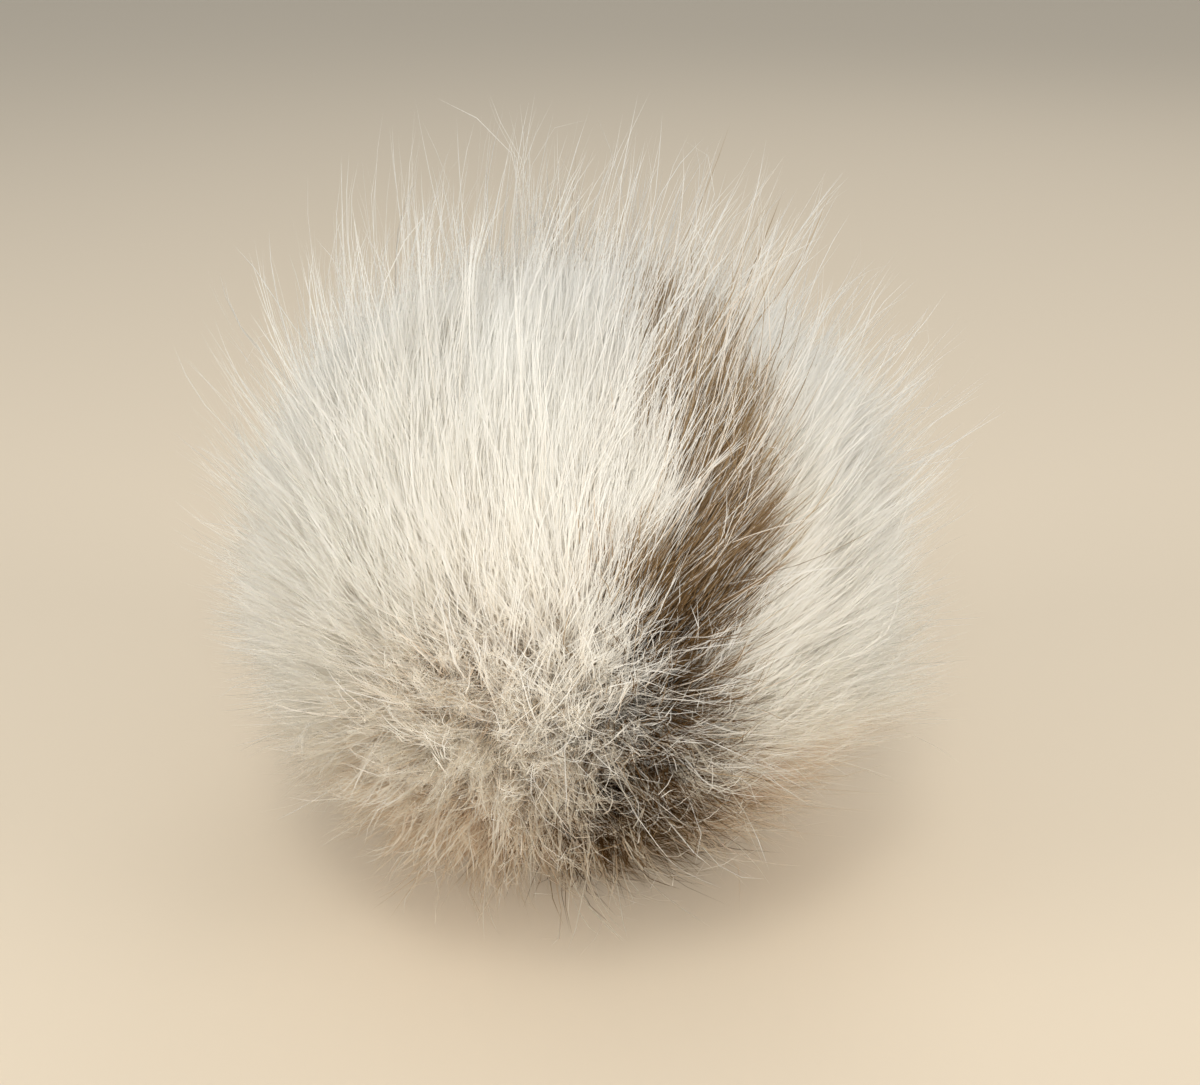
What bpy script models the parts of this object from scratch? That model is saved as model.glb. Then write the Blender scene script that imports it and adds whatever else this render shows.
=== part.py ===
"""A faux-fur pom pom, resting on a small flat spot of its own pile.

The whole thing is one closed solid, fur_ball: the outer form of the pile, out to where its fringe
reaches. The nap of the fur runs up the ball, so the pile stands highest on the crown and lies in
overlapping locks whose tips point upwards, and it is pressed flat where the ball rests.

Metres, +Z up. The origin is on the surface that the ball rests on, under the middle of its outline.
"""

import math
import random

import bmesh
import bpy
from mathutils import Vector

# Driving sizes of the ball, without its locks.
BALL_WIDTH = 0.1215  # X
BALL_DEPTH = 0.1195  # Y
WAIST_HEIGHT = 0.0575  # height of the widest section above the surface
CROWN_RISE = 0.0605  # from the waist to the top of the fringe
UNDERSIDE_DROP = 0.0617  # from the waist down, before the weight presses the pile flat

# Large tufts, where the fringe stands out of the even ball or falls short of it.
# Columns: azimuth (degrees from +X towards +Y), elevation (degrees), half-width (degrees), reach (m).
TUFTS = (
    (250.0, 78.0, 24.0, 0.0022),
    (200.0, 52.0, 20.0, 0.0016),
    (168.0, 18.0, 22.0, 0.0018),
    (120.0, 40.0, 24.0, 0.0014),
    (60.0, 58.0, 20.0, 0.0018),
    (20.0, 44.0, 20.0, 0.0024),
    (350.0, 14.0, 22.0, 0.0016),
    (318.0, -24.0, 18.0, 0.0014),
    (226.0, -30.0, 20.0, 0.0016),
    (270.0, -4.0, 20.0, -0.0020),
    (296.0, 30.0, 18.0, -0.0014),
    (90.0, -6.0, 26.0, -0.0012),
    (30.0, -28.0, 20.0, 0.0012),
    (150.0, -32.0, 20.0, 0.0010),
)

# Locks of pile, shared out over the ball.
LOCK_COUNT = 165
LOCK_HALF_WIDTH = 0.0044  # across the nap
LOCK_BACK_LENGTH = 0.0210  # from the lock's highest point back along the nap
LOCK_TIP_LENGTH = 0.0052  # from its highest point on to its tip
LOCK_RISE = 0.0030
LOCK_UNEVENNESS = 0.45  # how much the locks' sizes differ, as a share of the size
LOCK_WANDER = math.radians(5.0)  # how far a lock stands off its even place
FOOT_LOCK_ELEVATION = math.radians(-50.0)  # locks below this are pressed into the flat spot

NAP = Vector((0.16, 0.0, 0.58)).normalized()  # the way the fur is brushed
GOLDEN_ANGLE = math.pi * (3.0 - math.sqrt(5.0))

# The mesh: an icosphere of 320 triangles, each split into a grid of 25.
BASE_SUBDIVISIONS = 3
EXTRA_CUTS = 4

FUR_CREAM = (0.78, 0.71, 0.61, 1.0)
FUR_ROUGHNESS = 0.75


def direction_of(azimuth, elevation):
    """The unit vector at an azimuth and elevation in radians."""
    across = math.cos(elevation)
    return Vector((across * math.cos(azimuth), across * math.sin(azimuth), math.sin(elevation)))


def even_radius(direction):
    """Distance from the ball's middle to its even surface: two half ellipsoids that share a waist."""
    half_height = CROWN_RISE if direction.z > 0.0 else UNDERSIDE_DROP
    return 1.0 / math.sqrt(
        (2.0 * direction.x / BALL_WIDTH) ** 2
        + (2.0 * direction.y / BALL_DEPTH) ** 2
        + (direction.z / half_height) ** 2
    )


def tuft_reach(direction):
    """How far the large tufts move the surface out or in."""
    total = 0.0
    for azimuth, elevation, half_width, reach in TUFTS:
        middle = direction_of(math.radians(azimuth), math.radians(elevation))
        apart = direction.angle(middle) / math.radians(half_width)
        total += reach * math.exp(-apart * apart)
    return total


def lock_table():
    """Each lock's middle, the directions along and across the nap there, and its relative size."""
    chance = random.Random(LOCK_COUNT)
    table = []
    for index in range(LOCK_COUNT):
        height = 1.0 - 2.0 * (index + 0.5) / LOCK_COUNT
        elevation = math.asin(height) + chance.uniform(-LOCK_WANDER, LOCK_WANDER)
        azimuth = index * GOLDEN_ANGLE + chance.uniform(-LOCK_WANDER, LOCK_WANDER)
        size = 1.0 + chance.uniform(-LOCK_UNEVENNESS, LOCK_UNEVENNESS)
        if elevation < FOOT_LOCK_ELEVATION:
            continue
        middle = direction_of(azimuth, elevation)
        along = (NAP - middle * NAP.dot(middle)).normalized()
        table.append((middle, along, middle.cross(along), size))
    return table


def lock_rise(direction, radius, locks):
    """The highest lock at this place: a long slope up the nap that ends in a short tip."""
    highest = 0.0
    for middle, along, across, size in locks:
        if direction.dot(middle) < 0.0:
            continue
        ahead = direction.dot(along) * radius
        aside = direction.dot(across) * radius / LOCK_HALF_WIDTH
        reach = LOCK_TIP_LENGTH if ahead > 0.0 else LOCK_BACK_LENGTH * size
        spread = (ahead / reach) ** 2 + aside * aside
        highest = max(highest, LOCK_RISE * size * math.exp(-spread))
    return highest


def fur_material():
    """Cream fur, one plain finish."""
    material = bpy.data.materials.new("faux_fur")
    material.use_nodes = True
    shader = material.node_tree.nodes["Principled BSDF"]
    shader.inputs["Base Color"].default_value = FUR_CREAM
    shader.inputs["Roughness"].default_value = FUR_ROUGHNESS
    shader.inputs["Metallic"].default_value = 0.0
    return material


def press_flat(mesh):
    """Cuts the ball off at the surface it rests on and closes it with one flat face."""
    everything = mesh.verts[:] + mesh.edges[:] + mesh.faces[:]
    cut = bmesh.ops.bisect_plane(
        mesh, geom=everything, plane_co=(0.0, 0.0, 0.0), plane_no=(0.0, 0.0, 1.0), clear_inner=True
    )
    rim = [item for item in cut["geom_cut"] if isinstance(item, bmesh.types.BMEdge)]
    bmesh.ops.contextual_create(mesh, geom=rim)


def centre_outline(mesh):
    """Moves the ball so that the middle of its outline, seen from above, is at the origin."""
    for axis in (0, 1):
        places = [vertex.co[axis] for vertex in mesh.verts]
        shift = Vector((0.0, 0.0, 0.0))
        shift[axis] = -(min(places) + max(places)) / 2.0
        bmesh.ops.translate(mesh, verts=mesh.verts[:], vec=shift)


def make_fur_ball():
    """The pile's outer form as one closed solid."""
    mesh = bmesh.new()
    bmesh.ops.create_icosphere(mesh, subdivisions=BASE_SUBDIVISIONS, radius=1.0)
    bmesh.ops.subdivide_edges(mesh, edges=mesh.edges[:], cuts=EXTRA_CUTS, use_grid_fill=True)
    locks = lock_table()
    waist = Vector((0.0, 0.0, WAIST_HEIGHT))
    for vertex in mesh.verts:
        direction = vertex.co.normalized()
        radius = even_radius(direction)
        radius += tuft_reach(direction) + lock_rise(direction, radius, locks)
        vertex.co = waist + direction * radius
    press_flat(mesh)
    centre_outline(mesh)
    bmesh.ops.recalc_face_normals(mesh, faces=mesh.faces[:])

    data = bpy.data.meshes.new("fur_ball")
    mesh.to_mesh(data)
    mesh.free()
    data.shade_smooth()
    data.set_sharp_from_angle(angle=math.radians(50.0))
    data.materials.append(fur_material())
    ball = bpy.data.objects.new("fur_ball", data)
    bpy.context.collection.objects.link(ball)


for leftover in list(bpy.data.objects):
    bpy.data.objects.remove(leftover)
make_fur_ball()
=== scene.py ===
"""A faux-fur pom pom: a stuffed ball whose long pile is made hair by hair, on a pale floor."""

import math

import bmesh
import bpy
import numpy as np
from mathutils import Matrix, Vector
from mathutils.kdtree import KDTree


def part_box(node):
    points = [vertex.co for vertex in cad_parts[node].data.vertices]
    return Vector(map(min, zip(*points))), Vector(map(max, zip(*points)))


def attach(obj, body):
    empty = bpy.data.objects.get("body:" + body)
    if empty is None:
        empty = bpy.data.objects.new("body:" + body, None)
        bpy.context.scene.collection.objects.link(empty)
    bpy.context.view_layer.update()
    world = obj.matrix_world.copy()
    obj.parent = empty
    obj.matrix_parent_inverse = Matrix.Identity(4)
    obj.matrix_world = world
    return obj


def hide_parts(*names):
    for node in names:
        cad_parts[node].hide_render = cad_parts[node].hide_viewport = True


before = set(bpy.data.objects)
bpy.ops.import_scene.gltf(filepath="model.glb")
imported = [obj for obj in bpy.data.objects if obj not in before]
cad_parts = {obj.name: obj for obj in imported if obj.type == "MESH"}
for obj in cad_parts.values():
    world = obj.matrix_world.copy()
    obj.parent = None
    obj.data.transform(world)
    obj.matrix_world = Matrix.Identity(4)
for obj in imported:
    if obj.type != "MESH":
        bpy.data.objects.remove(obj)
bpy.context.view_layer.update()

LOW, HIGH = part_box("fur_ball")
WIDTH = HIGH[0] - LOW[0]
DEPTH = HIGH[1] - LOW[1]
HEIGHT = HIGH[2] - LOW[2]
FLOOR_Z = LOW[2]

# The dense part of the ball, as shares of the solid's box; only the fringe reaches past it.
MIDDLE = np.array([0.0, 0.0, FLOOR_Z + 0.42 * HEIGHT])
DENSE_HALF = np.array([0.445 * WIDTH, 0.444 * DEPTH, 0.425 * HEIGHT])
PILE_HEIGHT = 0.0140  # from the matted underfur that the hairs come out of to the dense surface
SKIN_HALF = DENSE_HALF - PILE_HEIGHT
# How far sideways and forwards the hairs may reach from the middle, and how low.
REACH = np.array([0.530 * WIDTH + 0.0008, 0.530 * DEPTH + 0.0022])
LOWEST_HAIR = FLOOR_Z + 0.0002

SEED = 20
PILE_HAIRS = 168_000
GUARD_HAIRS = 8_800
# The share of its length that each piece of a hair has, from root to tip.
PILE_STEPS = (0.40, 0.34, 0.26)
GUARD_STEPS = (0.20, 0.18, 0.17, 0.16, 0.15, 0.14)


# Chance and directions.


def unit(rows):
    """Each row at length 1."""
    return rows / np.maximum(np.linalg.norm(rows, axis=1, keepdims=True), 1e-12)


def smooth(low, high, value):
    """0 at low, 1 at high, eased in between."""
    share = np.clip((value - low) / (high - low), 0.0, 1.0)
    return share * share * (3.0 - 2.0 * share)


class Wobble:
    """A smooth random field over space, from a sum of sine waves of about one wavelength."""

    def __init__(self, chance, wavelength, outputs=3, waves=28):
        heading = unit(chance.normal(size=(waves, 3)))
        pace = 2.0 * math.pi / (wavelength * chance.uniform(0.7, 1.5, size=(waves, 1)))
        self.frequency = heading * pace
        self.phase = chance.uniform(0.0, 2.0 * math.pi, size=waves)
        self.weight = chance.normal(size=(waves, outputs)) * math.sqrt(2.0 / waves)

    def at(self, places):
        """The field's values, one row for each place."""
        return np.sin(places @ self.frequency.T + self.phase) @ self.weight


def uneven(chance, wavelength, places):
    """One smooth random number for each place."""
    return Wobble(chance, wavelength, outputs=1).at(places)[:, 0]


def even_directions(count):
    """Directions shared out evenly over a sphere."""
    index = np.arange(count) + 0.5
    height = 1.0 - 2.0 * index / count
    azimuth = index * math.pi * (3.0 - math.sqrt(5.0))
    across = np.sqrt(1.0 - height * height)
    return np.stack([across * np.cos(azimuth), across * np.sin(azimuth), height], axis=1)


def angle_from(outward, direction):
    """Angle between each outward direction and one direction."""
    return np.arccos(np.clip(outward @ unit(direction[None, :])[0], -1.0, 1.0))


def skin_points(outward):
    """Places on the skin where it faces outward."""
    return MIDDLE + outward * SKIN_HALF


# How the fur is brushed.

# This is added to the outward direction at each root.
BRUSHED = np.array([0.24, 0.06, 0.98])
# How much of the upward brushing is missing at the far left and the far right.
LEFT_SLACK, RIGHT_SLACK = 1.00, 0.75
SLACK_FADE = (0.15, 0.65)  # how far the skin faces back where that slack fades away
# The fur is brushed up a little more at the low right: these say where.
LOW_RIGHT_LIFT = 0.45
LIFT_ACROSS, LIFT_DOWN = (0.05, 0.55), (-0.1, 0.6)
# The hairs stand up where the brushing starts, low on the front, and lie over further away.
PARTING = np.array([-0.22, -0.89, -0.41])
LIE_FROM, LIE_TO = math.radians(22.0), math.radians(70.0)
FAR_FROM, FAR_TO = math.radians(100.0), math.radians(165.0)
LIE = 0.55
LIE_FAR = 0.25  # the same, at the far side of the ball
LIE_BELOW = 0.25  # the share of it that the underside has
BELOW_FADE = (-0.55, 0.05)
# Round this place the hairs are crossed, hooked and clotted; elsewhere they run smooth.
ROUGH = np.array([-0.15, -0.85, -0.50])
ROUGH_INNER, ROUGH_OUTER = math.radians(24.0), math.radians(54.0)
# A hair's upright share is 1 where it stands straight up; hairs below this one get no longer.
LEAST_UPRIGHT = 0.58


def combed(outward, amount):
    """The way a hair leans where the skin faces outward; amount is how far it has bent over."""
    slack = np.where(outward[:, 0] < 0.0, LEFT_SLACK, RIGHT_SLACK) * outward[:, 0] ** 2
    slack *= 1.0 - smooth(*SLACK_FADE, outward[:, 1])
    lean = outward + BRUSHED * amount
    lean[:, 2] -= BRUSHED[2] * slack * amount
    low_right = smooth(*LIFT_ACROSS, outward[:, 0]) * smooth(*LIFT_DOWN, -outward[:, 2])
    lean[:, 2] += LOW_RIGHT_LIFT * low_right * amount
    away = angle_from(outward, PARTING)
    along = unit(outward * np.cos(away)[:, None] - unit(PARTING[None, :]))
    far = smooth(FAR_FROM, FAR_TO, away)
    below = LIE_BELOW + (1.0 - LIE_BELOW) * smooth(*BELOW_FADE, outward[:, 2])
    lying = smooth(LIE_FROM, LIE_TO, away) * (LIE * (1.0 - far) + LIE_FAR * far) * below
    return unit(unit(lean) + along * lying[:, None] * amount)


def roughness(outward):
    """1 where the pile is crossed and clotted, 0 where it runs smooth."""
    return 1.0 - smooth(ROUGH_INNER, ROUGH_OUTER, angle_from(outward, ROUGH))


def even_length(outward):
    """How long a hair has to be for its tip to reach the dense surface, however it leans."""
    upright = np.sum(combed(outward, 1.0) * outward, axis=1)
    return PILE_HEIGHT / np.maximum(upright, LEAST_UPRIGHT)


# The dyed stripe, which runs round the ball like a slice's edge.

# Columns: angle about X from the front (degrees, up positive), middle (share of the half-width,
# right positive), half-width (the same share), darkness.
STRIPE = np.array((
    (-180.0, 0.00, 0.13, 0.75),
    (-120.0, -0.02, 0.12, 0.95),
    (-75.0, 0.02, 0.12, 1.00),
    (-43.0, 0.10, 0.125, 1.00),
    (-27.0, 0.17, 0.135, 1.00),
    (-11.0, 0.23, 0.135, 0.96),
    (3.0, 0.29, 0.14, 0.83),
    (16.0, 0.34, 0.15, 0.75),
    (30.0, 0.38, 0.15, 0.67),
    (54.0, 0.40, 0.15, 0.50),
    (75.0, 0.37, 0.14, 0.45),
    (92.0, 0.26, 0.12, 0.36),
    (120.0, 0.06, 0.12, 0.46),
    (150.0, 0.00, 0.13, 0.64),
    (180.0, 0.00, 0.13, 0.75),
))
STRIPE_EDGE = (0.62, 1.18)  # shares of the half-width between which the dye fades


def stripe_strength(outward, edge_wobble):
    """How much brown dye a root has, from 0 to 1."""
    around = np.degrees(np.arctan2(outward[:, 2], -outward[:, 1]))
    middle = np.interp(around, STRIPE[:, 0], STRIPE[:, 1])
    half_width = np.interp(around, STRIPE[:, 0], STRIPE[:, 2])
    darkness = np.interp(around, STRIPE[:, 0], STRIPE[:, 3])
    aside = np.abs(outward[:, 0] - middle + edge_wobble) / half_width
    return darkness * (1.0 - smooth(*STRIPE_EDGE, aside))


# The tint scale that hair colours lie on: 0 is bright white, 1 the darkest brown of the stripe.

# The undyed hairs: their tint everywhere, and what is added: warm patches; painted shade low on the
# front and underneath; and where the pile is rough, the beige of its roots together with painted shade.
CREAM, WARM_PATCH, PAINTED_LOW_SHADE, ROUGH_ROOTS_AND_SHADE, PAINTED_UNDERSIDE_SHADE = 0.04, 0.03, 0.01, 0.04, 0.30
PATCH_WAVE = 0.026  # wavelength of the warm patches, in metres
# The low front's painted shade comes in as the skin faces down; the underside's painted shade comes in
# as it faces further down.
LOW_SLOPE, LOW_LEVEL = 0.6, 0.45  # how the low front's tint comes in as the skin faces down
UNDERSIDE = (0.30, 0.85)  # how far the skin faces down where the underneath begins and is complete
CREAM_SPREAD, CREAM_SPREAD_ROUGH = 0.02, 0.06  # differences between hairs, and more where rough
DARKEST_CREAM = 0.38
# The share of undyed hairs in the stripe, how much more where the dye is weak, and less underneath.
PALE_HAIRS, PALE_HAIRS_MORE, PALE_HAIRS_LESS = 0.13, 0.24, 0.5
# The dyed hairs.
LIGHTEST_DYED, DYE_RANGE, DYE_POWER, DYE_SPREAD = 0.31, 0.67, 1.2, 0.08
DYE_TAKES = (0.02, 0.45)  # each hair takes the dye where it is stronger than a chance within this range


def tint_of(chance, outward, roots, edge):
    """Where each hair lies on the tint scale."""
    count = len(outward)
    warmth = uneven(chance, PATCH_WAVE, roots)
    rough = roughness(outward)
    low_shade = np.clip(-outward[:, 2] * LOW_SLOPE + LOW_LEVEL, 0.0, 1.0)
    underneath = smooth(*UNDERSIDE, -outward[:, 2])
    # Painted shade: hairs are tinted darker low on the front and underneath, where the ball is in its
    # own shade. Where the pile is rough, the darker tint is partly painted shade and partly its beige
    # roots.
    cream = CREAM + WARM_PATCH * warmth + PAINTED_LOW_SHADE * low_shade
    cream += ROUGH_ROOTS_AND_SHADE * rough + PAINTED_UNDERSIDE_SHADE * underneath
    cream += (CREAM_SPREAD + CREAM_SPREAD_ROUGH * rough) * chance.normal(size=count)
    cream = np.clip(cream, 0.0, DARKEST_CREAM)
    dye = stripe_strength(outward, edge)
    pale_share = (PALE_HAIRS + PALE_HAIRS_MORE * (1.0 - dye)) * (1.0 - PALE_HAIRS_LESS * underneath)
    pale_hair = chance.uniform(size=count) < pale_share
    dark = LIGHTEST_DYED + DYE_RANGE * dye**DYE_POWER + DYE_SPREAD * chance.normal(size=count)
    dyed = (dye > chance.uniform(*DYE_TAKES, size=count)) & ~pale_hair
    return np.where(dyed, dark, cream)


# The growth of the hairs.

# How far a hair is combed over at its root, and how much more at its tip.
ROOT_LEAN, LEAN_GAIN = 0.65, 0.75
# The sway of neighbouring hairs together: wavelength in metres, and how strong.
BROAD_WAVE, BROAD_SWAY = 0.034, 0.13
FINE_WAVE, FINE_SWAY = 0.010, 0.08
CURL = 0.25  # how much each hair bends of its own accord
CURL_TURN = 0.3  # share of the length where that bend changes sides
HOOK_FROM, HOOK_TO = 0.45, 0.95  # shares of the length between which a hooked tip turns aside
REST_HEIGHTS = (0.0003, 0.0030)  # how far above the floor hairs lie that meet it
FLOOR_SPREAD = 0.4  # how much those hairs turn outwards
LEVEL = np.array([1.0, 1.0, 0.0])
SHORTEST = 0.1  # no hair is drawn in to less than this share of its length
# How strongly a lock holds its hairs together, at shares of their length.
HOLD_PLACES, HOLD = (0.0, 0.35, 0.72, 1.0), (0.0, 0.35, 1.0, 0.70)


def grow(chance, outward, length, steps, stray, hook, lift, clumps):
    """Points along each hair, from root to tip: an array of hairs x points x 3.

    stray is each hair's own leaning, hook bends the tips aside, lift raises the part near the root,
    and clumps gives the number of locks and each hair's pull towards them."""
    count = len(outward)
    roots = skin_points(outward)
    broad = Wobble(chance, BROAD_WAVE).at(roots)
    fine = Wobble(chance, FINE_WAVE).at(roots)
    own = chance.normal(size=(count, 3))
    bend = chance.normal(size=(count, 3)) * CURL
    aside = unit(chance.normal(size=(count, 3)))
    points = np.empty((count, len(steps) + 1, 3))
    points[:, 0] = roots
    rest_height = FLOOR_Z + chance.uniform(*REST_HEIGHTS, size=count)
    reached = 0.0
    for row, step_share in enumerate(steps):
        share = reached + step_share / 2.0
        reached += step_share
        step = length * step_share
        heading = combed(outward, ROOT_LEAN + LEAN_GAIN * share)
        heading += BROAD_SWAY * broad + FINE_SWAY * fine + stray[:, None] * own
        heading += bend * (share - CURL_TURN)
        heading += aside * (hook * smooth(HOOK_FROM, HOOK_TO, share))[:, None]
        heading += outward * lift * (1.0 - share)
        heading = unit(heading)
        ahead = points[:, row] + heading * step[:, None]
        lying = ahead[:, 2] < rest_height
        heading[lying, 2] = 0.0
        heading[lying] = unit(heading[lying] + FLOOR_SPREAD * outward[lying] * LEVEL)
        heading[lying, 2] = 0.0
        ahead[lying] = points[lying, row] + heading[lying] * step[lying, None]
        ahead[:, 2] = np.maximum(ahead[:, 2], rest_height)
        points[:, row + 1] = ahead
    for clump_count, pull in clumps:
        points = gather(chance, points, clump_count, pull)
    points = shortened(points)
    points[:, :, 2] = np.maximum(points[:, :, 2], LOWEST_HAIR)
    return points


def shortened(points):
    """Each hair drawn in towards its root where it would pass REACH."""
    root = np.abs(points[:, 0, :2])
    furthest = np.abs(points[:, :, :2]).max(axis=1)
    share = (REACH - root) / np.maximum(furthest - root, 1e-6)
    share = np.clip(np.where(furthest > REACH, share, 1.0), SHORTEST, 1.0).min(axis=1)
    return points[:, :1] + (points - points[:, :1]) * share[:, None, None]


def nearest_of(places, centres):
    """The index of the nearest centre for each place."""
    tree = KDTree(len(centres))
    for index, centre in enumerate(centres):
        tree.insert(centre, index)
    tree.balance()
    return np.array([tree.find(place)[1] for place in places])


def gather(chance, points, clump_count, pull):
    """Draws the hairs' outer halves together into small locks, each round one of its own hairs."""
    middles = points[:, points.shape[1] // 2]
    leaders = chance.choice(len(points), size=clump_count, replace=False)
    owner = nearest_of(middles, middles[leaders])
    own_pull = pull[leaders][owner]
    guides = points[leaders][owner]
    share = np.linspace(0.0, 1.0, points.shape[1])
    hold = np.interp(share, HOLD_PLACES, HOLD)
    return points + (guides - points) * hold[None, :, None] * own_pull[:, None, None]


# The hairs' meshes.

TURN = 0.5  # how far ribbons turn out of the surface, in radians, one way or the other
TAPER = 0.55  # how much narrower a ribbon is just before its tip
# Shading follows the ball's roundness, and each ribbon's own facing a little.
ROUND_SHARE, FACING_SHARE = 0.88, 0.12
# The hair map: its tint runs across and the way from root to tip runs up, inside a narrow margin.
MAP_MARGIN, MAP_SPAN = 0.02, 0.96
MAP_HALF_WIDTH = 0.006


def ribbon_outlines(chance, points, widths, outward):
    """Corner points of each hair's ribbon, ending in a point, and the normals to shade them with."""
    count, rows, _ = points.shape
    body_rows = rows - 1
    along = np.gradient(points, axis=1)
    along /= np.maximum(np.linalg.norm(along, axis=2, keepdims=True), 1e-12)
    flat_side = np.cross(along, outward[:, None, :])
    flat_side /= np.maximum(np.linalg.norm(flat_side, axis=2, keepdims=True), 1e-9)
    other_side = np.cross(along, flat_side)
    turn = chance.normal(size=(count, 1, 1)) * TURN
    side = flat_side * np.cos(turn) + other_side * np.sin(turn)
    share = np.linspace(0.0, 1.0, rows)
    taper = 1.0 - TAPER * share**2
    reach = side * (widths[:, None, None] * taper[None, :, None]) / 2.0
    left = points[:, :body_rows] - reach[:, :body_rows]
    right = points[:, :body_rows] + reach[:, :body_rows]
    pairs = np.stack([left, right], axis=2).reshape(count, -1, 3)
    corners = np.concatenate([pairs, points[:, -1:]], axis=1)

    facing = np.cross(side, along)
    round_normal = points - MIDDLE
    round_normal /= np.linalg.norm(round_normal, axis=2, keepdims=True)
    flip = np.sign(np.sum(facing * round_normal, axis=(1, 2), keepdims=True))
    soft = ROUND_SHARE * round_normal + FACING_SHARE * facing * flip
    soft /= np.linalg.norm(soft, axis=2, keepdims=True)
    normals = np.concatenate([np.repeat(soft[:, :body_rows], 2, axis=1), soft[:, -1:]], axis=1)
    return corners, normals


def hair_map(tint, rows):
    """A place on the hair map for each corner of each ribbon."""
    body_rows = rows - 1
    share = np.linspace(0.0, 1.0, rows)
    column = np.clip(tint, MAP_MARGIN, MAP_MARGIN + MAP_SPAN)
    aside = np.concatenate([np.tile([-1.0, 1.0], body_rows), [0.0]]) * MAP_HALF_WIDTH
    row = np.concatenate([np.repeat(share[:body_rows], 2), [1.0]]) * MAP_SPAN + MAP_MARGIN
    across = column[:, None] + aside[None, :]
    return np.stack([across, np.broadcast_to(row[None, :], across.shape)], axis=2)


def ribbon_mesh(name, chance, points, widths, tint, outward):
    """One mesh of thin tapering ribbons, one for each hair."""
    count, rows, _ = points.shape
    body_rows = rows - 1
    corners, normals = ribbon_outlines(chance, points, widths, outward)
    per_hair = 2 * body_rows + 1
    first = np.arange(body_rows - 1) * 2
    quads = np.stack([first, first + 1, first + 3, first + 2], axis=1)
    tip = np.array([per_hair - 3, per_hair - 2, per_hair - 1])
    one_hair = np.concatenate([quads.ravel(), tip])
    loops = (one_hair[None, :] + np.arange(count)[:, None] * per_hair).ravel()
    sizes = np.tile(np.array([4] * (body_rows - 1) + [3]), count)
    starts = np.concatenate([[0], np.cumsum(sizes)[:-1]])

    mesh = bpy.data.meshes.new(name)
    mesh.vertices.add(count * per_hair)
    mesh.vertices.foreach_set("co", corners.astype(np.float32).ravel())
    mesh.loops.add(len(loops))
    mesh.loops.foreach_set("vertex_index", loops.astype(np.int32))
    mesh.polygons.add(len(sizes))
    mesh.polygons.foreach_set("loop_start", starts.astype(np.int32))
    places = hair_map(tint, rows).reshape(-1, 2)[loops]
    layer = mesh.uv_layers.new(name="OFBake")
    layer.uv.foreach_set("vector", places.astype(np.float32).ravel())
    mesh.update(calc_edges=True)
    mesh.shade_smooth()
    mesh.normals_split_custom_set_from_vertices(normals.reshape(-1, 3).astype(np.float32))
    piece = bpy.data.objects.new(name, mesh)
    bpy.context.collection.objects.link(piece)
    return piece


# Materials.


def node(tree, kind, **inputs):
    """A shader node with some of its inputs set."""
    made = tree.nodes.new(kind)
    for key, value in inputs.items():
        made.inputs[key].default_value = value
    return made


def ramp(tree, factor, stops):
    """A colour ramp through (position, colour) stops."""
    made = tree.nodes.new("ShaderNodeValToRGB")
    elements = made.color_ramp.elements
    while len(elements) < len(stops):
        elements.new(0.5)
    for element, (position, colour) in zip(elements, stops):
        element.position = position
        element.color = (*colour, 1.0)
    tree.links.new(factor, made.inputs["Fac"])
    return made.outputs["Color"]


def colour_mix(tree, factor, first, second):
    """A blend from the first colour to the second."""
    blend = tree.nodes.new("ShaderNodeMix")
    blend.data_type = "RGBA"
    tree.links.new(factor, blend.inputs["Factor"])
    tree.links.new(first, blend.inputs["A"])
    tree.links.new(second, blend.inputs["B"])
    return blend.outputs["Result"]


# Hair colours along the tint scale, at the tips and at the roots. The roots are darker: in the stripe
# by its dye, and in the cream hairs partly by their beige base and partly as painted shade deep in the
# pile.
TIP_COLOURS = (
    (0.00, (0.97, 0.965, 0.925)),
    (0.22, (0.94, 0.89, 0.80)),
    (0.36, (0.84, 0.74, 0.61)),
    (0.55, (0.53, 0.395, 0.235)),
    (0.78, (0.270, 0.167, 0.073)),
    (1.00, (0.125, 0.068, 0.024)),
)
ROOT_COLOURS = (
    (0.00, (0.95, 0.925, 0.865)),
    (0.12, (0.93, 0.88, 0.79)),
    (0.22, (0.87, 0.73, 0.58)),
    (0.36, (0.74, 0.575, 0.43)),
    (0.55, (0.35, 0.25, 0.145)),
    (0.78, (0.135, 0.078, 0.034)),
    (1.00, (0.046, 0.025, 0.009)),
)
ROOT_COLOUR_ENDS, TIP_COLOUR_STARTS = 0.25, 0.85  # shares of a hair's length
HAIR_ROUGHNESS, HAIR_SHINE = 0.42, 0.18
HAIR_GLOW = 0.52  # the share of a hair's surface that lets light through


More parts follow.
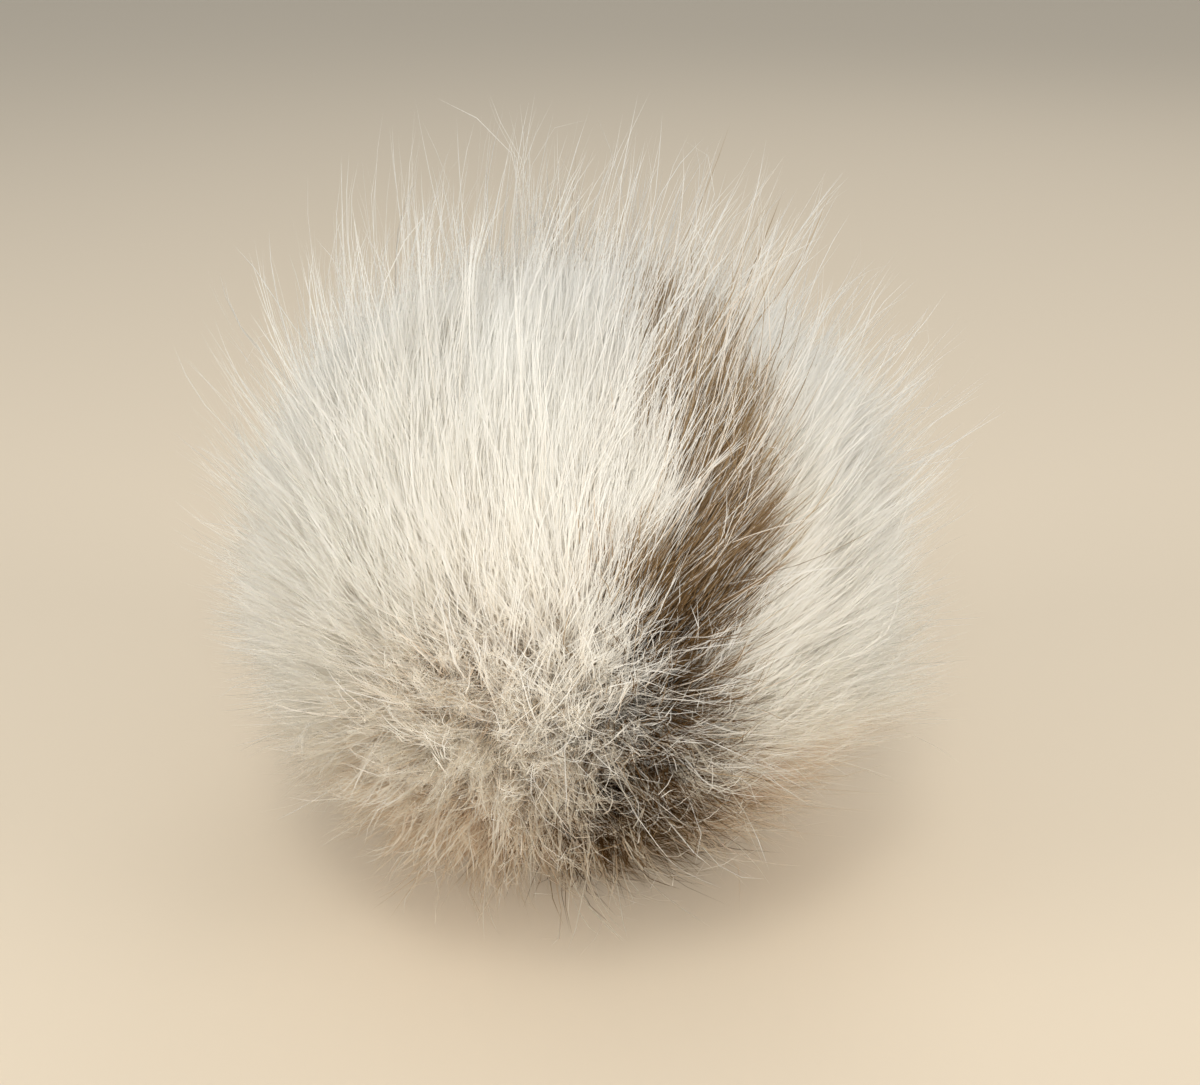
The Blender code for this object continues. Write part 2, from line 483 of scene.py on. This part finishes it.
def hair_material():
    """Hair: its colour runs from root to tip, and light passes partly through it."""
    material = bpy.data.materials.new("hair")
    material.use_nodes = True
    tree = material.node_tree
    tree.nodes.clear()
    place = tree.nodes.new("ShaderNodeUVMap")
    place.uv_map = "OFBake"
    parts = tree.nodes.new("ShaderNodeSeparateXYZ")
    tree.links.new(place.outputs["UV"], parts.inputs[0])
    tip = ramp(tree, parts.outputs["X"], TIP_COLOURS)
    root = ramp(tree, parts.outputs["X"], ROOT_COLOURS)
    ease = tree.nodes.new("ShaderNodeMapRange")
    ease.interpolation_type = "SMOOTHSTEP"
    ease.inputs["From Min"].default_value = ROOT_COLOUR_ENDS
    ease.inputs["From Max"].default_value = TIP_COLOUR_STARTS
    tree.links.new(parts.outputs["Y"], ease.inputs["Value"])
    colour = colour_mix(tree, ease.outputs["Result"], root, tip)
    surface = node(tree, "ShaderNodeBsdfPrincipled", Roughness=HAIR_ROUGHNESS)
    surface.inputs["Specular IOR Level"].default_value = HAIR_SHINE
    glow = tree.nodes.new("ShaderNodeBsdfTranslucent")
    both = node(tree, "ShaderNodeMixShader", Fac=HAIR_GLOW)
    out = tree.nodes.new("ShaderNodeOutputMaterial")
    tree.links.new(colour, surface.inputs["Base Color"])
    tree.links.new(colour, glow.inputs["Color"])
    tree.links.new(surface.outputs[0], both.inputs[1])
    tree.links.new(glow.outputs[0], both.inputs[2])
    tree.links.new(both.outputs[0], out.inputs["Surface"])
    return material


# Underfur colours between the hollows and the tops of its woolly lumps: the hollows are painted shade,
# and the underfur's darkness is partly its own colour and partly painted shade between the hairs.
UNDERFUR_BEIGE_AND_SHADE = ((0.30, (0.50, 0.40, 0.30)), (0.70, (0.76, 0.66, 0.54)))
UNDERFUR_BROWN_AND_SHADE = ((0.30, (0.10, 0.075, 0.050)), (0.70, (0.22, 0.165, 0.115)))
WOOL_SCALE, WOOL_DETAIL = 420.0, 4.0
WOOL_RELIEF, WOOL_DEPTH = 0.6, 0.0008


def noise(tree, scale, detail):
    """Solid noise over the object, from 0 to 1."""
    place = tree.nodes.new("ShaderNodeTexCoord")
    made = node(tree, "ShaderNodeTexNoise", Scale=scale, Detail=detail)
    tree.links.new(place.outputs["Object"], made.inputs["Vector"])
    return made.outputs["Fac"]


def core_material():
    """Matted underfur: beige, browner under the stripe, with fine woolly lumps; its beige is partly
    painted shade between the hairs, and the lumps' hollows are painted darker as shade.
    """
    material = bpy.data.materials.new("underfur")
    material.use_nodes = True
    tree = material.node_tree
    surface = tree.nodes["Principled BSDF"]
    surface.inputs["Roughness"].default_value = 0.9
    woolly = noise(tree, WOOL_SCALE, WOOL_DETAIL)
    # Painted shade: the noise that raises the woolly lumps also darkens their hollows.
    beige = ramp(tree, woolly, UNDERFUR_BEIGE_AND_SHADE)
    brown = ramp(tree, woolly, UNDERFUR_BROWN_AND_SHADE)
    dyed = tree.nodes.new("ShaderNodeAttribute")
    dyed.attribute_name = "dye"
    colour = colour_mix(tree, dyed.outputs["Fac"], beige, brown)
    tree.links.new(colour, surface.inputs["Base Color"])
    relief = node(tree, "ShaderNodeBump", Strength=WOOL_RELIEF, Distance=WOOL_DEPTH)
    tree.links.new(woolly, relief.inputs["Height"])
    tree.links.new(relief.outputs["Normal"], surface.inputs["Normal"])
    return material


# The pieces.


def place_piece(piece, material):
    """What every piece of the fur has in common."""
    piece.data.materials.append(material)
    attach(piece, "root")


CORE_SUBDIVISIONS = 6
CORE_THICKER = 0.0008  # how far the core covers the hairs' roots
CORE_LUMP_WAVE, CORE_LUMPS = 0.016, 0.0006  # wavelength and height, in metres
LOWEST_CORE = FLOOR_Z + 0.0003


def make_core(material):
    """The stuffed ball of cloth and matted underfur that the pile grows from."""
    mesh = bmesh.new()
    bmesh.ops.create_icosphere(mesh, subdivisions=CORE_SUBDIVISIONS, radius=1.0)
    outward = unit(np.array([vertex.co for vertex in mesh.verts]))
    chance = np.random.default_rng(SEED + 2)
    lumps = uneven(chance, CORE_LUMP_WAVE, skin_points(outward))
    grown = MIDDLE + outward * (SKIN_HALF + CORE_THICKER + CORE_LUMPS * lumps[:, None])
    grown[:, 2] = np.maximum(grown[:, 2], LOWEST_CORE)
    for vertex, place in zip(mesh.verts, grown):
        vertex.co = Vector(place)
    data = bpy.data.meshes.new("core")
    mesh.to_mesh(data)
    mesh.free()
    data.shade_smooth()
    dye = data.attributes.new("dye", "FLOAT", "POINT")
    dye.data.foreach_set("value", stripe_strength(outward, 0.0).astype(np.float32))
    piece = bpy.data.objects.new("core", data)
    bpy.context.collection.objects.link(piece)
    place_piece(piece, material)
    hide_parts("fur_ball")


# The pile's pieces are equal slices, in this order round the ball from +X.
PILE_NAMES = ("back_right", "back", "back_left", "front_left", "front", "front_right")
ROOT_SCATTER = 0.006
EDGE_WAVE, EDGE_SWAY, EDGE_SCATTER = 0.016, 0.06, 0.035  # how ragged the stripe's edges are
# Lengths, as shares of the even length: some hairs are short, most are even, a few stand out.
SHORT_UP_TO, SHORT_LENGTHS = 0.30, (0.62, 0.88)
EVEN_LENGTHS = (0.88, 1.06)
LONG_FROM, LONG_LENGTHS = 0.88, (1.04, 1.42)
LENGTH_WAVE, LENGTH_SWAY = 0.022, 0.0010  # how the pile's height varies from place to place, in metres
# Low down, undyed hairs in the stripe are longer, thicker and paler, and cross it.
CREAM_UP_TO, STRIPE_FROM = 0.30, 0.30
CROSSING_LENGTHS = (0.98, 1.22)
CROSSING_PALER, CROSSING_WIDER = 0.6, 1.45
SMALL_LOCKS, LARGE_LOCKS = 12_000, 2_600
# Pull into locks: middle and spread where smooth, how much more where rough, and the most.
SMALL_PULL = (0.09, 0.10, 0.31, 0.92)
LARGE_PULL = (0.04, 0.04, 0.34, 0.80)
# Where smooth, and how much more where rough.
PILE_STRAY, PILE_STRAY_ROUGH = 0.09, 0.25
PILE_HOOK, PILE_HOOK_ROUGH = 0.10, 1.30
PILE_HOOK_RANGE = (0.2, 1.0)
PILE_LIFT = 0.10
PILE_WIDTHS = (0.00011, 0.00019)


def lock_pull(chance, rough, middle, spread, more, most):
    """How strongly each hair is drawn into its lock."""
    return np.clip(chance.normal(middle, spread, size=len(rough)) + more * rough, 0.0, most)


def pile_lengths(chance, outward, roots, crossing):
    """The length of each pile hair."""
    count = len(outward)
    even = even_length(outward) + LENGTH_SWAY * uneven(chance, LENGTH_WAVE, roots)
    kind = chance.uniform(size=count)
    short = chance.uniform(*SHORT_LENGTHS, size=count)
    share = np.where(kind < SHORT_UP_TO, short, chance.uniform(*EVEN_LENGTHS, size=count))
    share = np.where(kind > LONG_FROM, chance.uniform(*LONG_LENGTHS, size=count), share)
    longer = np.maximum(share, chance.uniform(*CROSSING_LENGTHS, size=count))
    return even * np.where(crossing, longer, share)


def make_pile(material):
    """The pile itself, in six pieces that share one growth."""
    chance = np.random.default_rng(SEED)
    count = PILE_HAIRS
    outward = unit(even_directions(count) + chance.normal(size=(count, 3)) * ROOT_SCATTER)
    roots = skin_points(outward)
    edge = EDGE_SWAY * uneven(chance, EDGE_WAVE, roots) + EDGE_SCATTER * chance.normal(size=count)
    tint = tint_of(chance, outward, roots, edge)
    rough = roughness(outward)
    in_stripe = stripe_strength(outward, edge) > STRIPE_FROM
    crossing = (tint < CREAM_UP_TO) & in_stripe & (outward[:, 2] < 0.0)
    length = pile_lengths(chance, outward, roots, crossing)
    tint = np.where(crossing, tint * CROSSING_PALER, tint)
    small_pull = lock_pull(chance, rough, *SMALL_PULL)
    large_pull = lock_pull(chance, rough, *LARGE_PULL)
    stray = PILE_STRAY + PILE_STRAY_ROUGH * rough
    hook = (PILE_HOOK + PILE_HOOK_ROUGH * rough) * chance.uniform(*PILE_HOOK_RANGE, size=count)
    clumps = ((LARGE_LOCKS, large_pull), (SMALL_LOCKS, small_pull))
    points = grow(chance, outward, length, PILE_STEPS, stray, hook, PILE_LIFT, clumps)
    widths = chance.uniform(*PILE_WIDTHS, size=count) * np.where(crossing, CROSSING_WIDER, 1.0)
    around = np.degrees(np.arctan2(outward[:, 1], outward[:, 0])) % 360.0
    slice_of = (around // (360.0 / len(PILE_NAMES))).astype(int)
    for index, name in enumerate(PILE_NAMES):
        own = slice_of == index
        piece = ribbon_mesh("pile_" + name, chance, points[own], widths[own], tint[own], outward[own])
        place_piece(piece, material)


GUARD_EXTRA = (0.002, 0.010)  # how far the guard hairs stand out past the pile
CROWN_EXTRA, CROWN_RARITY = 0.022, 1.8  # how much longer the longest are on the crown, and how rare
WHITE_TINTS, CREAM_TINTS = (0.02, 0.10), (0.16, 0.28)
GUARD_EDGE_SCATTER = 0.05
# How far the skin faces down where the low part begins and is complete, and up for the crown.
LOW_PART, CROWN = (-0.15, 0.35), (-0.2, 0.9)
# The share of bleached hairs, and how much more on the crown, where rough and low in the stripe.
BLEACHED, BLEACHED_MORE = 0.22, 0.58
# The share of those that are white, and how much more where rough and low in the stripe.
WHITE, WHITE_MORE = 0.22, 0.50
GUARD_LOCKS = 2_000
GUARD_PULL = (0.55, 0.25, 0.0, 0.95)
GUARD_STRAY, GUARD_STRAY_ROUGH = 0.13, 0.20
HOOKED_SHARE, HOOKED, BARELY_HOOKED = 0.15, 1.0, 0.15
GUARD_HOOK_RANGE = (0.4, 1.0)
GUARD_LIFT = 0.40
GUARD_WIDTHS, GUARD_WIDER = (0.00011, 0.00018), 0.00005


def guard_tint(chance, outward, roots, edge, plain, crown):
    """Tints of the guard hairs; plain is 1 where the pile is rough or low in the stripe."""
    count = len(outward)
    tint = tint_of(chance, outward, roots, edge)
    bleached = chance.uniform(size=count) < BLEACHED + BLEACHED_MORE * np.maximum(plain, crown)
    white = chance.uniform(size=count) < WHITE + WHITE_MORE * plain
    white_tint = chance.uniform(*WHITE_TINTS, size=count)
    bleach = np.where(white, white_tint, chance.uniform(*CREAM_TINTS, size=count))
    return np.where(bleached, np.minimum(tint, bleach), tint)


def make_guard_hairs(material):
    """Long single hairs that stand out past the pile, mostly on the crown."""
    chance = np.random.default_rng(SEED + 1)
    count = GUARD_HAIRS
    outward = unit(chance.normal(size=(count, 3)))
    roots = skin_points(outward)
    edge = GUARD_EDGE_SCATTER * chance.normal(size=count)
    rough = roughness(outward)
    low = smooth(*LOW_PART, -outward[:, 2])
    plain = np.maximum(rough, low * stripe_strength(outward, edge))
    crown = smooth(*CROWN, outward[:, 2])
    tint = guard_tint(chance, outward, roots, edge, plain, crown)
    length = even_length(outward) + chance.uniform(*GUARD_EXTRA, size=count)
    length += crown * CROWN_EXTRA * chance.uniform(size=count) ** CROWN_RARITY
    pull = lock_pull(chance, rough, *GUARD_PULL)
    stray = GUARD_STRAY + GUARD_STRAY_ROUGH * rough
    hooked = chance.uniform(size=count) < HOOKED_SHARE
    hook = np.where(hooked, HOOKED, BARELY_HOOKED) * chance.uniform(*GUARD_HOOK_RANGE, size=count)
    clumps = ((GUARD_LOCKS, pull),)
    points = grow(chance, outward, length, GUARD_STEPS, stray, hook, GUARD_LIFT, clumps)
    widths = chance.uniform(*GUARD_WIDTHS, size=count) + GUARD_WIDER * plain
    place_piece(ribbon_mesh("guard_hairs", chance, points, widths, tint, outward), material)


# The stage.

FLOOR_SIZE = 6.0
FLOOR_COLOUR = (0.58, 0.495, 0.38, 1.0)

CAMERA_ELEVATION = math.radians(25.0)
CAMERA_DISTANCE = 0.253
FIELD_OF_VIEW = math.radians(45.0)
AIM = Vector((0.0047, 0.0, FLOOR_Z + 0.415 * HEIGHT + 0.0052))

# Columns: name, place, size, power in watts, colour.
LIGHTS = (
    ("key", (-0.05, -0.42, 0.84), 0.24, 2.2, (1.0, 0.97, 0.92)),
    ("front", (0.0, -0.84, 0.45), 0.50, 5.1, (1.0, 0.95, 0.89)),
    ("left", (-0.92, -0.34, 0.42), 0.4, 3.8, (1.0, 0.97, 0.93)),
    ("right", (0.92, -0.34, 0.42), 0.4, 3.7, (1.0, 0.97, 0.93)),
    ("back", (0.25, 0.70, 0.75), 0.5, 1.2, (1.0, 0.97, 0.93)),
)
ROOM_COLOUR, ROOM_STRENGTH = (0.95, 0.98, 1.0, 1.0), 0.63


def make_floor():
    """A plain pale floor under the ball."""
    bpy.ops.mesh.primitive_plane_add(size=FLOOR_SIZE, location=(0.0, 0.0, FLOOR_Z))
    floor = bpy.context.object
    floor.name = "floor"
    material = bpy.data.materials.new("floor")
    material.use_nodes = True
    surface = material.node_tree.nodes["Principled BSDF"]
    surface.inputs["Base Color"].default_value = FLOOR_COLOUR
    surface.inputs["Roughness"].default_value = 0.8
    floor.data.materials.append(material)


def make_camera():
    """The camera, in front of the ball and looking down on it as in the photo."""
    camera = bpy.data.objects.new("camera", bpy.data.cameras.new("camera"))
    bpy.context.collection.objects.link(camera)
    camera.data.angle = FIELD_OF_VIEW
    camera.data.clip_start = 0.01
    back = Vector((0.0, -math.cos(CAMERA_ELEVATION), math.sin(CAMERA_ELEVATION)))
    camera.location = AIM + back * CAMERA_DISTANCE
    camera.rotation_euler = (-back).to_track_quat("-Z", "Y").to_euler()
    bpy.context.scene.camera = camera


def area_light(name, place, size, power, colour):
    """A square lamp that faces the ball."""
    light = bpy.data.lights.new(name, "AREA")
    light.size = size
    light.energy = power
    light.color = colour
    lamp = bpy.data.objects.new(name, light)
    lamp.location = place
    lamp.rotation_euler = (AIM - Vector(place)).to_track_quat("-Z", "Y").to_euler()
    bpy.context.collection.objects.link(lamp)


def make_light():
    """Soft studio light: five lamps, and an even pale surround."""
    for row in LIGHTS:
        area_light(*row)
    world = bpy.data.worlds.new("studio")
    world.use_nodes = True
    surround = world.node_tree.nodes["Background"]
    surround.inputs["Color"].default_value = ROOM_COLOUR
    surround.inputs["Strength"].default_value = ROOM_STRENGTH
    bpy.context.scene.world = world
    bpy.context.scene.view_settings.view_transform = "Standard"


make_camera()
hair = hair_material()
make_core(core_material())
make_pile(hair)
make_guard_hairs(hair)
make_floor()
make_light()
